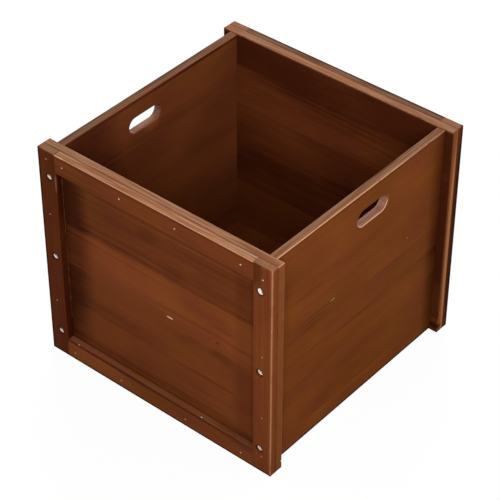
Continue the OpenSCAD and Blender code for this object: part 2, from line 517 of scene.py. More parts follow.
def new_material(name: str, gloss: float) -> tuple[bpy.types.Material, bpy.types.Node]:
    """Starts a material.

    Args:
        name: its name.
        gloss: its specular level.

    Returns:
        The material and its shader.
    """
    material = bpy.data.materials.new(name)
    material.use_nodes = True
    shader = material.node_tree.nodes["Principled BSDF"]
    shader.inputs["Specular IOR Level"].default_value = gloss
    return material, shader


# ---- Boards ----


@dataclass(frozen=True)
class Slot:
    """The hand slot of a side board, by its middle and its sizes."""

    along: float
    height: float = 0.292
    length: float = 0.059
    width: float = 0.023
    rim: float = 0.0015
    # How pale the rim's lower part is made: wear, and a painted highlight where it faces up.
    rim_wear_and_highlight: float = 0.85
    cut_tone: float = 1.0


@dataclass(frozen=True)
class Look:
    """How one board took the stain and has worn, with its painted shade and highlights, next to what
    its finish gives.
    """

    tone: float = 1.0
    top_tone: float = 1.0
    top_wear: float = 1.0
    rub: float = 1.0
    rub_width: float = 1.0
    # How far the rubbed edge goes towards bare wood: wear, and where it is raised also a painted
    # highlight.
    bare_edge_and_highlight: float = 0.0
    marks: tuple[Mark, ...] = ()


@dataclass(frozen=True)
class Board:
    """One board of the crate, as its finish sees it.

    The stain lies dark along its dark sides, and is rubbed thin where its other sides meet.
    Along the edges where its shaded sides meet, shade is painted onto the edge.
    An end panel's opening is what its frame leaves clear on its outside.
    """

    node: str
    grain: Grain
    seed: int
    look: Look = Look()
    first_joint: float = -FAR
    stave_width: float = 2 * FAR
    dark_sides: tuple[Side, ...] = ()
    dripped_sides: tuple[Side, ...] = ()
    opening: Box | None = None
    outside: Side = Side.FRONT
    slot: Slot | None = None

    def box(self, kept: tuple[Side, ...]) -> Box:
        """The board's box, with every side but the kept ones moved far off.

        Args:
            kept: the sides that stay where they are.

        Returns:
            Its lowest and highest corners.
        """
        low, high = (list(corner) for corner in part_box(self.node))
        for side in Side:
            axis, direction = side.value
            if side not in kept:
                (low if direction < 0 else high)[axis] += direction * FAR
        return tuple(low), tuple(high)

    def free_box(self) -> Box:
        """The box of the sides whose edges are rubbed."""
        return self.box(tuple(side for side in Side if side not in self.dark_sides))


@dataclass(frozen=True)
class Stain:
    """Colours of stained pine in linear light."""

    pale: Colour
    ruddy: Colour
    deep: Colour
    pooled_and_shade: Colour
    rubbed: Colour
    edge: Colour
    worn: Colour
    bare: Colour
    cut: Colour
    end: Colour
    knot: Colour


@dataclass(frozen=True)
class WoodFinish:
    """Stained and varnished pine."""

    slot: str
    stain: Stain
    depth: float = 0.40
    ring_pitch: float = 0.0060
    waver: float = 0.020
    pith_depth: float = 0.035
    pith_spread: float = 0.045
    cut_spread: float = 0.030
    longest_slide: float = 2.0
    ring_share: float = 0.20
    fibre_share: float = 0.24
    streak_share: float = 0.22
    cloud_share: float = 0.80
    stave_share: float = 0.34
    stave_line: float = 0.14
    ruddy_share: float = 0.8
    red_power: float = 1.35
    top_depth: float = 0.003
    top_streak_share: float = 0.25
    top_worn: float = 0.45
    top_lines: float = 0.50
    end_lines: float = 0.15
    end_streak_share: float = 0.20
    end_mark_share: float = 0.7
    rub: Band = Band(0.0036, 0.32)
    edge: Band = Band(0.0013, 0.90)
    line: Band = Band(0.0013, 0.45)
    # Painted shade along the bottom edges and some outer edges.
    drip: Band = Band(0.0050, 0.92)
    # Painted shade in the corners of an end panel's opening: a wide soft band and a thin line.
    corner: Band = Band(0.015, 0.22)
    corner_shade_line: Band = Band(0.003, 0.48)
    rim_fade: float = 0.0005
    # Only the lower part of a slot's rim, which faces up, is made pale: wear and a painted highlight.
    rim_heights: Range = (-0.003, 0.004)
    cut_lines: float = 0.5
    knot_halo: float = 5.0
    knot_bend: float = 0.007
    roughness: float = 0.36
    rough_streak: float = 0.14
    rough_end: float = 0.16
    rough_top: float = 0.45
    gloss: float = 0.05
    relief: float = 0.00012
    fibre_relief: float = 0.6
    ring_relief: float = 0.5
    scratch_relief: float = -2.0
    facing: Range = (0.75, 0.95)

    def dress(self, board: Board, effects: Effects) -> bpy.types.Material:
        """Makes the material of one board.

        Args:
            board: the board that gets it.
            effects: the shared node groups.

        Returns:
            The material, on Object coordinates.
        """
        material, shader = new_material(f"{board.node}_{self.slot}", self.gloss)
        BoardRecipe(material.node_tree, self, board, effects).write(shader)
        return material


class BoardRecipe(Recipe):
    """The steps of one board's material."""

    def __init__(self, tree: bpy.types.NodeTree, finish: WoodFinish, board: Board,
                 effects: Effects) -> None:
        """Reads the board's place, marks, staves and figure.

        Args:
            tree: the material's tree.
            finish: the finish.
            board: the board that gets it.
            effects: the shared node groups.
        """
        super().__init__(tree)
        self.finish, self.board, self.effects = finish, board, effects
        self.look = board.look
        coordinates = self.node("ShaderNodeTexCoord")
        self.place, self.normal = coordinates.outputs["Object"], coordinates.outputs["Normal"]
        self.parts = self.split(self.place)
        self.facing = [self.ease(self.math("ABSOLUTE", part), *finish.facing)
                       for part in self.split(self.normal)]
        near_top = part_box(board.node)[1][2] - finish.top_depth
        self.upward = self.times(self.facing[2], self.math("GREATER_THAN", self.parts[2], near_top))
        # The edge colour taken towards bare wood as the look asks: wear, and partly a painted
        # highlight.
        self.edge = tuple(thin + (bare - thin) * board.look.bare_edge_and_highlight
                          for thin, bare in zip(finish.stain.edge, finish.stain.bare))
        self.masks: dict[MarkKind, Value] = dict.fromkeys(MarkKind, 0.0)
        self.staves = self.group(effects.staves, Across=self.parts[board.grain.value[1]],
                                 First_Joint=board.first_joint, Width=board.stave_width,
                                 Seed=float(board.seed))
        self.figure = self.group(effects.figure, Place=self.place_in_log(), Waver=finish.waver,
                                 Ring_Pitch=finish.ring_pitch, Bend=self.read_marks())

    def place_in_log(self) -> Socket:
        """Where a point of a stave lay in its log, with the pith at the log's origin."""
        finish, staves = self.finish, self.staves
        along, _, through = self.board.grain.value
        low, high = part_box(self.board.node)
        slide = self.plus(staves["Slide"], finish.longest_slide, float(self.board.seed % LOGS))
        cut = self.swing(staves["Slide"], finish.cut_spread, staves["Local"])
        depth = self.plus(staves["Depth"], finish.pith_spread, finish.pith_depth)
        inner = self.math("SUBTRACT", self.parts[through], (low[through] + high[through]) / 2)
        return self.join(self.math("ADD", self.parts[along], slide), cut,
                         self.math("ADD", inner, depth))

    def read_marks(self) -> Value:
        """Adds the marks to the masks of their kinds.

        Returns:
            How far the rings bend round the knots.
        """
        bend: Value = 0.0
        for mark in self.look.marks:
            mask = self.effects.mask(self, self.place, mark)
            self.masks[mark.kind] = self.math("MAXIMUM", self.masks[mark.kind], mask)
            if mark.kind is KNOT:
                halo = tuple(self.finish.knot_halo * half for half in mark.half_size)
                swirl = self.effects.mask(self, self.place, Mark(KNOT, mark.centre, halo, full=0.0))
                bend = self.plus(swirl, self.finish.knot_bend, bend)
        return bend

    def write(self, shader: bpy.types.Node) -> None:
        """Feeds the shader.

        Args:
            shader: the material's Principled shader.
        """
        finish = self.finish
        ends = self.facing[self.board.grain.value[0]]
        colour = self.blend(ends, self.long_grain(), self.end_grain())
        colour = self.rubbed_edges(self.worn_top(colour))
        colour = self.darken_joints_and_shade(colour)
        if self.board.slot:
            colour = self.cut_slot(self.board.slot, colour)
        colour = self.blend(self.masks[SCRATCH], colour, finish.stain.bare)
        self.feed(shader.inputs["Base Color"], colour)
        rough = self.swing(self.figure["Streak"], finish.rough_streak, finish.roughness)
        rough = self.plus(ends, finish.rough_end, rough)
        rough = self.plus(self.facing[2], finish.rough_top, rough)
        self.feed(shader.inputs["Roughness"], rough)
        self.feed(shader.inputs["Normal"], self.relief())

    def long_grain(self) -> Socket:
        """The long grain's colour, by how deep the stain went and by the marks, some of which are
        painted shade and highlights.
        """
        finish, figure, masks, tone = self.finish, self.figure, self.masks, self.look.tone
        depth = self.plus(figure["Rings"], finish.ring_share, finish.depth)
        for value, share in ((figure["Fibre"], finish.fibre_share),
                             (figure["Streak"], finish.streak_share),
                             (figure["Cloud"], finish.cloud_share),
                             (self.staves["Tone"], finish.stave_share)):
            depth = self.swing(value, share, depth)
        depth = self.plus(self.staves["Joint"], finish.stave_line, depth)
        streak = self.times(self.math("SUBTRACT", figure["Streak"], MIDDLE), self.upward)
        depth = self.plus(streak, finish.top_streak_share, depth)
        depth = self.math("SUBTRACT", self.math("ADD", depth, masks[DARK]), masks[PALE])
        ruddy = self.times(figure["Ruddy"], finish.ruddy_share)
        pale = self.blend(ruddy, finish.stain.pale, finish.stain.ruddy)
        colour = self.blend(depth, pale, finish.stain.deep)
        colour = self.blend(masks[KNOT], colour, finish.stain.knot)
        deeper = tone ** finish.red_power
        return self.vector("MULTIPLY", colour, (tone, deeper, deeper))

    def end_grain(self) -> Socket:
        """The colour of faces that cut across the fibres."""
        finish, stain = self.finish, self.finish.stain
        light = self.swing(self.figure["Streak"], -finish.end_streak_share, self.look.tone)
        for value, share in ((self.figure["Rings"], -finish.ring_share),
                             (self.masks[DARK], -finish.end_mark_share),
                             (self.masks[PALE], finish.end_mark_share)):
            light = self.plus(value, share, light)
        return self.scale(self.blend(self.masks[PALE], stain.end, stain.rubbed), light)

    def worn_top(self, colour: Value) -> Socket:
        """Gives the upward faces their own tone, and wears them along fine lines."""
        finish, look = self.finish, self.look
        colour = self.scale(colour, self.stretch(self.upward, 1.0, look.top_tone))
        lines = finish.end_lines if self.board.grain is Grain.ALONG_Z else finish.top_lines
        worn = self.swing(self.figure["Lines"], -lines * look.top_wear,
                          finish.top_worn * look.top_wear)
        return self.blend(self.times(worn, self.upward), colour,
                          self.scale(finish.stain.worn, look.top_tone))

    def rubbed_edges(self, colour: Value) -> Value:
        """Rubs the stain thin along the free edges, but not where a mark is dark; where a board's look
        takes the edge towards bare wood, it is also a painted highlight.
        """
        finish, look = self.finish, self.look
        clean = self.math("SUBTRACT", 1.0, self.masks[DARK])
        for band, stain in ((finish.rub, finish.stain.rubbed), (finish.edge, self.edge)):
            rub = self.rub(self.board.free_box(), band.reach * look.rub_width)
            colour = self.blend(self.times(rub, clean, band.share * look.rub), colour, stain)
        return colour

    def rub(self, box: Box, reach: float) -> Socket:
        """A patchy band along the edges of a box."""
        return self.group(self.effects.rub, Place=self.place, Low=box[0], High=box[1],
                          Reach=reach)["Rub"]

    def darken_joints_and_shade(self, colour: Value) -> Value:
        """Darkens the joints with gathered stain, and paints shade on the shaded edges and in the
        corners of the frame's opening.
        """
        finish, board = self.finish, self.board
        colour = self.pool(board.box(board.dark_sides), finish.line, 1.0, colour)
        # Painted shade along the bottom edges and some outer edges.
        if board.dripped_sides:
            drip = self.rub(board.box(board.dripped_sides), finish.drip.reach)
            drip = self.times(drip, finish.drip.share)
            colour = self.blend(drip, colour, finish.stain.pooled_and_shade)
        # Painted shade in the corners where the panel meets its frame.
        if board.opening:
            axis, direction = board.outside.value
            outward = self.times(self.split(self.normal)[axis], float(direction))
            flat = self.ease(outward, *finish.facing)
            for band in (finish.corner, finish.corner_shade_line):
                colour = self.pool(board.opening, band, flat, colour)
        return colour

    def pool(self, box: Box, band: Band, where: Value, colour: Value) -> Socket:
        """Darkens the colour along the sides of a box: gathered stain in joints, painted shade in
        corners.

        Args:
            box: the box's lowest and highest corners.
            band: how far the pool reaches, and how strongly it shows.
            where: a mask of the faces that have it.
            colour: the colour under it.

        Returns:
            The colour with the pool.
        """
        pool = self.group(self.effects.pool, Place=self.place, Normal=self.normal,
                          Low=box[0], High=box[1], Reach=band.reach)["Pool"]
        return self.blend(self.times(pool, where, band.share), colour, self.finish.stain.pooled_and_shade)

    def cut_slot(self, slot: Slot, colour: Value) -> Socket:
        """Makes a hand slot's lower rim pale, as wear and as a painted highlight where the rim faces
        up, and gives its cut faces their own colour.

        Args:
            slot: the slot.
            colour: the colour of the board round it.

        Returns:
            The colour with the slot's.
        """
        finish = self.finish
        radius = slot.width / 2
        height = self.math("SUBTRACT", self.parts[2], slot.height)
        away = self.group(self.effects.slot, Along=self.math("SUBTRACT", self.parts[1], slot.along),
                          Height=height, Half_Straight=slot.length / 2 - radius,
                          Radius=radius)["Distance"]
        rim = self.times(self.ease(away, slot.rim - finish.rim_fade, slot.rim, 1.0, 0.0),
                         self.ease(height, *finish.rim_heights, 1.0, 0.0), slot.rim_wear_and_highlight)
        colour = self.blend(rim, colour, self.edge)
        light: Value = slot.cut_tone
        for lines in ("Lines", "Streak"):
            light = self.swing(self.figure[lines], -finish.cut_lines, light)
        light = self.plus(self.masks[PALE], finish.end_mark_share, light)
        cut = self.ease(away, 0.0, finish.rim_fade, 1.0, 0.0)
        return self.blend(cut, colour, self.scale(finish.stain.cut, light))

    def relief(self) -> Socket:
        """The relief of fibres, rings and scratches."""
        finish = self.finish
        height = self.times(self.figure["Rings"], finish.ring_relief)
        height = self.plus(self.figure["Fibre"], finish.fibre_relief, height)
        height = self.plus(self.masks[SCRATCH], finish.scratch_relief, height)
        bump = self.node("ShaderNodeBump")
        bump.inputs["Distance"].default_value = finish.relief
        self.feed(bump.inputs["Height"], height)
        return bump.outputs["Normal"]


@dataclass(frozen=True)
class PatchyFinish:
    """A finish of two colours in patches, for plated steel or dried glue."""

    slot: str
    bright: Colour
    dull: Colour
    waves: float
    roughness: float
    metallic: float
    patch_range: Range = (0.38, 0.66)
    layers: float = 3.0
    rough_share: float = 0.2
    gloss: float = 0.5

    def dress(self, effects: Effects, marks: tuple[Mark, ...] = ()) -> bpy.types.Material:
        """Makes the material.

        Args:
            effects: the shared node groups.
            marks: spots that are dull, such as painted shade on a screw's head.

        Returns:
            The finish with duller, rougher patches.
        """
        material, shader = new_material(self.slot, self.gloss)
        recipe = Recipe(material.node_tree)
        place = recipe.node("ShaderNodeTexCoord").outputs["Object"]
        patch = recipe.noise(place, Ripple((self.waves,) * 3, self.layers))
        patch = recipe.ease(patch, *self.patch_range)
        for mark in marks:
            patch = recipe.math("MAXIMUM", patch, effects.mask(recipe, place, mark))
        recipe.feed(shader.inputs["Base Color"], recipe.blend(patch, self.bright, self.dull))
        rough = recipe.plus(patch, self.rough_share, self.roughness)
        recipe.feed(shader.inputs["Roughness"], rough)
        shader.inputs["Metallic"].default_value = self.metallic
        return material


# ---- Finishes ----

PINE = Stain(
    pale=(0.275, 0.074, 0.0165),
    ruddy=(0.262, 0.061, 0.0205),
    deep=(0.055, 0.0115, 0.0038),
    # Dark stain gathered in the joints; the same colour is the painted shade on shaded edges and in
    # the frame's corners.
    pooled_and_shade=(0.027, 0.0048, 0.0016),
    rubbed=(0.330, 0.130, 0.052),
    edge=(0.570, 0.245, 0.115),
    worn=(0.355, 0.198, 0.112),
    bare=(0.750, 0.450, 0.280),
    cut=(0.200, 0.091, 0.060),
    end=(0.238, 0.071, 0.0190),
    knot=(0.030, 0.008, 0.0035),
)
SIDE_PINE = replace(PINE, pale=(0.292, 0.080, 0.0125), ruddy=(0.275, 0.067, 0.0165))
DULL_PINE = replace(PINE, pale=(0.262, 0.076, 0.0185), ruddy=(0.248, 0.064, 0.0225),
                    deep=(0.055, 0.0120, 0.0050))


@dataclass(frozen=True)
class Finishes:
    """The finishes of the crate's pieces."""

    panel: WoodFinish = WoodFinish("end_panel_wood", PINE, depth=0.41, cloud_share=0.60)
    frame: WoodFinish = WoodFinish("frame_wood", PINE, ring_pitch=0.0050, streak_share=0.40)
    side: WoodFinish = WoodFinish("side_wood", SIDE_PINE, depth=0.36, ring_pitch=0.0066,
                                  ring_share=0.12, cloud_share=0.65, stave_share=0.14,
                                  stave_line=0.08)
    left_side: WoodFinish = replace(side, stain=DULL_PINE)
    bottom: WoodFinish = WoodFinish("bottom_sheet", PINE, pith_depth=0.12, rub=Band(0.0036, 0.2),
                                    top_streak_share=0.2, top_worn=0.0, top_lines=0.0,
                                    roughness=0.6, rough_top=0.1)
    # The plate is near white and barely metallic, so the heads are as bright as highlights: partly a
    # painted highlight.
    screws: PatchyFinish = PatchyFinish("screw_steel", (1.0, 0.89, 0.77), (0.22, 0.14, 0.085),
                                        260.0, 0.30, 0.05, (0.60, 0.88))
    brads: PatchyFinish = PatchyFinish("brad_steel", (1.0, 0.68, 0.48), (0.46, 0.22, 0.11),
                                       420.0, 0.40, 0.2, (0.46, 0.74))
    glue: PatchyFinish = PatchyFinish("dried_glue", (0.130, 0.042, 0.018), (0.060, 0.018, 0.007),
                                      90.0, 0.6, 0.0, gloss=0.05)
    specks: PatchyFinish = PatchyFinish("clean_glue", (0.85, 0.62, 0.46), (0.55, 0.34, 0.22),
                                        600.0, 0.4, 0.0)


# ---- Sub-assemblies ----


@dataclass(frozen=True)
class FramedEnd:
    """A framed end: a glued-up panel with two stiles and two rails on its outer face.

    Its marks are given as on the front end, and turn half round with the back one. First is
    the stile that lies on the left when the end is looked at from outside.
    """

    end: str
    seed: int
    panel: Look
    first: Look
    second: Look
    top: Look
    low: Look
    # Sides whose shared edge on the top rail gets painted shade.
    top_shaded_edges: tuple[Side, ...] = ()
    half_width: float = 0.189
    face: float = 0.1885
    height: float = 0.333
    strip_width: float = 0.029
    stave_joint: float = 0.0270
    stave_width: float = 0.0645
    screw_x: float = 0.171
    screw_heights: tuple[float, ...] = (0.039, 0.1665, 0.294)
    # Painted shade in a ring round each screw, where its countersink lies in shade.
    shade_ring_size: Triple = (0.0070, 0.005, 0.0070)
    shade_ring_strength: float = 0.60
    shade_ring_full: float = 0.68
    # Painted shade on the screw heads: one side of every head, more on the first stile's heads, and
    # more again on the second stile's two sunk heads.
    head_shade_full: float = 0.55
    head_shade: tuple[Range, Triple] = ((0.0032, 0.0018), (0.0036, 0.006, 0.0050))
    first_head_shade: tuple[Range, Triple] = ((-0.0016, 0.0034), (0.0052, 0.006, 0.0042))
    sunk: tuple[Range, Triple] = ((0.0012, 0.0013), (0.0042, 0.008, 0.0046))
    brad_x: float = 0.1745
    rust_heights: Range = (0.166, 0.110)
    rust_size: Triple = (0.008, 0.020, 0.220)
    rust_strength: float = 0.85
    rust_full: float = 0.8
    low_rust: Mark = Mark(DARK, (0.0, -0.1885, 0.0145), (0.30, 0.020, 0.020), 0.5, 0.8)

    def at_front(self) -> bool:
        """Whether this is the front end."""
        return self.end == "front"

    def place(self, marks: tuple[Mark, ...]) -> tuple[Mark, ...]:
        """Marks given as on the front end, where this end has them."""
        return marks if self.at_front() else tuple(mark.turned() for mark in marks)

    def shade_ringed(self, look: Look, direction: int) -> Look:
        """A stile's look with painted shade in rings round its screws, as on the front end."""
        rings = tuple(Mark(DARK, (direction * self.screw_x, -self.face, height), self.shade_ring_size,
                           self.shade_ring_strength, self.shade_ring_full)
                      for height in self.screw_heights)
        return replace(look, marks=rings + look.marks)

    def screw_head_shade(self) -> tuple[Mark, ...]:
        """Painted shade on one side of every screw head, with more of it on the first stile's heads
        and on the sunk ones.
        """
        first, second, sunk = -self.screw_x, self.screw_x, self.screw_heights[:2]
        spots = ((first, self.screw_heights, self.head_shade), (second, self.screw_heights, self.head_shade),
                 (first, self.screw_heights, self.first_head_shade), (second, sunk, self.sunk))
        return self.place(tuple(
            Mark(DARK, (x + aside, -self.face, height + up), size, full=self.head_shade_full)
            for x, heights, ((aside, up), size) in spots for height in heights))

    def brad_rust(self) -> tuple[Mark, ...]:
        """Where brads have dulled: in the bottom rail, and in the stiles but the second's top."""
        return self.place((self.low_rust, *(
            Mark(DARK, (x, -self.face, height), self.rust_size, self.rust_strength, self.rust_full)
            for x, height in zip((-self.brad_x, self.brad_x), self.rust_heights))))

    def board(self, name: str, grain: Grain, number: int, look: Look, **more: object) -> Board:
        """One of the end's boards, with its marks where this end has them."""
        return Board(f"{self.end}_{name}", grain, self.seed + number,
                     replace(look, marks=self.place(look.marks)), **more)

    def boards(self) -> list[tuple[Board, str]]:
        """Describes the end's boards.

        Returns:
            Each board, with the name of its finish.
        """
        outer, inner, near, far = Side.FRONT, Side.BACK, Side.LEFT, Side.RIGHT
        if not self.at_front():
            outer, inner, near, far = inner, outer, far, near
        clear_x, clear_top = self.half_width - self.strip_width, self.height - self.strip_width
        panel = self.board("end_panel", Grain.ALONG_X, 0, self.panel, outside=outer,
                           first_joint=self.stave_joint, stave_width=self.stave_width,
                           dark_sides=(outer, near, Side.UNDER),
                           opening=((-clear_x, -FAR, self.strip_width), (clear_x, FAR, clear_top)))
        first = self.board(f"{near.name.lower()}_stile", Grain.ALONG_Z, 1,
                           self.shade_ringed(self.first, -1), dark_sides=(inner, near, far, Side.UNDER),
                           dripped_sides=(outer, near, Side.UNDER))
        second = self.board(f"{far.name.lower()}_stile", Grain.ALONG_Z, 2,
                            self.shade_ringed(self.second, 1),
                            dark_sides=(inner, near, Side.UNDER, Side.TOP),
                            dripped_sides=(outer, Side.UNDER))
        top = self.board("top_rail", Grain.ALONG_X, 3, self.top, dripped_sides=self.top_shaded_edges,
                         dark_sides=(inner, near, far, Side.UNDER))
        low = self.board("bottom_rail", Grain.ALONG_X, 4, self.low,
                         dark_sides=(inner, near, far, Side.UNDER, Side.TOP),
                         dripped_sides=(outer, Side.UNDER))
        return [(panel, "panel"), *((strip, "frame") for strip in (first, second, top, low))]


@dataclass(frozen=True)
class SideBoards:
    """The two slotted side boards."""

    left: Look
    right: Look
    left_seed: int = 50
    right_seed: int = 1062
    stave_joint: float = 0.030
    stave_width: float = 0.076
    # The right slot's lower rim is made pale as wear and a painted highlight; the left one's is not.
    left_slot: Slot = Slot(-0.018, rim_wear_and_highlight=0.0, cut_tone=0.86)
    right_slot: Slot = Slot(0.018, rim_wear_and_highlight=1.0)

    def boards(self) -> list[tuple[Board, str]]:
        """Describes the side boards.

        Returns:
            Each board, with the name of its finish.
        """
        dark = (Side.FRONT, Side.BACK, Side.UNDER)
        left = Board("left_side_board", Grain.ALONG_Y, self.left_seed, self.left,
                     self.stave_joint, self.stave_width, dark_sides=dark,
                     dripped_sides=(Side.LEFT, Side.UNDER), slot=self.left_slot)
        right = Board("right_side_board", Grain.ALONG_Y, self.right_seed, self.right,
                      self.stave_joint, self.stave_width, dark_sides=(*dark, Side.LEFT),
                      dripped_sides=(Side.RIGHT, Side.UNDER), slot=self.right_slot)
        return [(left, "left_side"), (right, "side")]


@dataclass(frozen=True)
class Bottom:
    """The thin bottom in its grooves."""

    seed: int = 70

    def boards(self) -> list[tuple[Board, str]]:
        """The bottom, with the name of its finish."""
        dark = (Side.LEFT, Side.RIGHT, Side.FRONT, Side.BACK)
        return [(Board("bottom_panel", Grain.SHEET_Y, self.seed, dark_sides=dark), "bottom")]


@dataclass(frozen=True)
class Fasteners:
    """The screws and brads."""

    screws: tuple[str, ...] = ("front_left_screws", "front_right_screws",
                               "back_left_screws", "back_right_screws")
    brads: tuple[str, ...] = ("front_rail_brads", "front_stile_brads",
                              "back_rail_brads", "back_stile_brads")


# ---- Squeezed-out glue ----


@dataclass(frozen=True)
class GlueBead:
    """A bead of glue along a joint of the front end, and its twin on the back one."""

    name: str
    start: Triple
    finish: Triple
    radius: float
    seed: int
    clean: bool = False
    step: float = 0.004
    fewest_steps: int = 2
    sides: int = 6
    thinnest: float = 0.30
    thickest: float = 1.15
    wander: float = 0.00015

    def build(self, turned: bool) -> bpy.types.Object:
        """Draws the bead out ring by ring, as thick and as straight as chance makes it.

        Args:
            turned: whether it is the back end's bead, turned half round.

        Returns:
            The bead, at its place.
        """
        chance = random.Random(self.seed + turned)
        turn = Matrix.Rotation(math.pi if turned else 0.0, 4, "Z")
        start, finish = turn @ Vector(self.start), turn @ Vector(self.finish)
        run = finish - start
        steps = max(self.fewest_steps, round(run.length / self.step))
        deselect()
        bpy.ops.mesh.primitive_circle_add(
            vertices=self.sides, radius=self.radius * self.thinnest, fill_type="NGON",
            location=start, rotation=run.to_track_quat("Z", "Y").to_euler())
        bead = bpy.context.object
        bpy.ops.object.mode_set(mode="EDIT")
        place, width = start.copy(), self.thinnest
        for number in range(1, steps + 1):
            aim = start + run * (number / steps)
            sway = Vector([chance.uniform(-self.wander, self.wander) for _ in range(3)])
            bpy.ops.mesh.extrude_region_move(
                TRANSFORM_OT_translate={"value": aim + sway - place, "orient_type": "GLOBAL"})
            place = aim + sway
            last = number == steps
            wanted = self.thinnest if last else chance.uniform(self.thinnest, self.thickest)
            bpy.ops.transform.resize(value=(wanted / width,) * 3, center_override=place)
            width = wanted
        bpy.ops.mesh.select_all(action="SELECT")
        bpy.ops.mesh.normals_make_consistent(inside=False)
        bpy.ops.object.mode_set(mode="OBJECT")
        return finished(bead, f"{'back' if turned else 'front'}_{self.name}")


@dataclass(frozen=True)
class Glue:
    """All the squeezed-out glue of the two ends."""

    beads: tuple[GlueBead, ...] = (
        GlueBead("corner_glue", (-0.1596, -0.1779, 0.060), (-0.1596, -0.1779, 0.292), 0.0009, 3),
        GlueBead("joint_glue", (0.160, -0.1880, 0.0030), (0.160, -0.1880, 0.0260), 0.0004, 8),
        GlueBead("first_glue_speck", (-0.1423, -0.1864, 0.0290), (-0.1393, -0.1864, 0.0290),
                 0.0008, 11, clean=True, step=0.001),
        GlueBead("second_glue_speck", (0.0717, -0.1854, 0.0291), (0.0747, -0.1854, 0.0291),
                 0.0007, 14, clean=True, step=0.001),
    )

    def build(self, stained: bpy.types.Material, clean: bpy.types.Material) -> None:
        """Adds every bead to both ends.

        Args:
            stained: glue that took the stain.
            clean: glue that set on top of it.
        """
        for bead in self.beads:
            material = clean if bead.clean else stained
            for turned in (False, True):
                piece = bead.build(turned)
                piece.data.materials.append(material)
                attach(piece, "root")
                log.info("%s: %s", piece.name, material.name)


def deselect() -> None:
    """Deselects everything."""
    bpy.ops.object.select_all(action="DESELECT")


def finished(piece: bpy.types.Object, name: str) -> bpy.types.Object:
    """Smooths a new piece, and puts its place into its mesh.

    Args:
        piece: the active and only selected object.
        name: its name.

    Returns:
        The same object, at the origin, unturned and unscaled.
    """
    piece.name = name
    smooth = piece.modifiers.new("smooth", "SUBSURF")
    smooth.levels = SMOOTHING
    smooth.render_levels = SMOOTHING
    bpy.ops.object.modifier_apply(modifier=smooth.name)
    bpy.ops.object.shade_smooth()
    bpy.ops.object.transform_apply(location=True, rotation=True, scale=True)
    return piece


# ---- Studio ----


@dataclass(frozen=True)
class Softbox:
    """A studio softbox that faces the middle of the crate.

    Its azimuth is measured from +X towards +Y and its glow is the brightness of its face.
    """

    name: str
    azimuth: float
    elevation: float
    distance: float
    width: float
    height: float
    glow: float

    def light(self, aim: Vector) -> None:
        """Adds the softbox.

        Args:
            aim: the point that it faces.
        """
        data = bpy.data.lights.new(self.name, "AREA")
        data.shape = "RECTANGLE"
        data.size = self.width
        data.size_y = self.height
        data.energy = self.glow * math.pi * self.width * self.height
        lamp = bpy.data.objects.new(self.name, data)
        bpy.context.scene.collection.objects.link(lamp)
        turn, lift = math.radians(self.azimuth), math.radians(self.elevation)
        away = Vector((math.cos(turn) * math.cos(lift), math.sin(turn) * math.cos(lift),
                       math.sin(lift)))
        lamp.location = aim + away * self.distance
        lamp.rotation_mode = "QUATERNION"
        lamp.rotation_quaternion = away.to_track_quat("Z", "Y")


@dataclass(frozen=True)
class Camera:
    """The photograph's viewpoint. Its yaw turns it from +Y, and its pitch tilts it down."""

    place: Triple = (1.24277, -1.48683, 1.72821)
    yaw: float = 39.950
    pitch: float = 39.178
    roll: float = 0.152
    lens: float = 137.85
    sensor: float = 36.0
    nearest: float = 0.05
    farthest: float = 4 * FAR

    def build(self) -> None:
        """Adds the camera and makes it the scene's."""
        data = bpy.data.cameras.new("camera")
        data.lens = self.lens
        data.sensor_width = self.sensor
        data.clip_start = self.nearest
        data.clip_end = self.farthest
        eye = bpy.data.objects.new("camera", data)
        bpy.context.scene.collection.objects.link(eye)
        turn = (Matrix.Rotation(math.radians(self.yaw), 4, "Z")
                @ Matrix.Rotation(math.radians(90 - self.pitch), 4, "X")
                @ Matrix.Rotation(math.radians(self.roll), 4, "Z"))
        eye.matrix_world = Matrix.Translation(self.place) @ turn
        bpy.context.scene.camera = eye


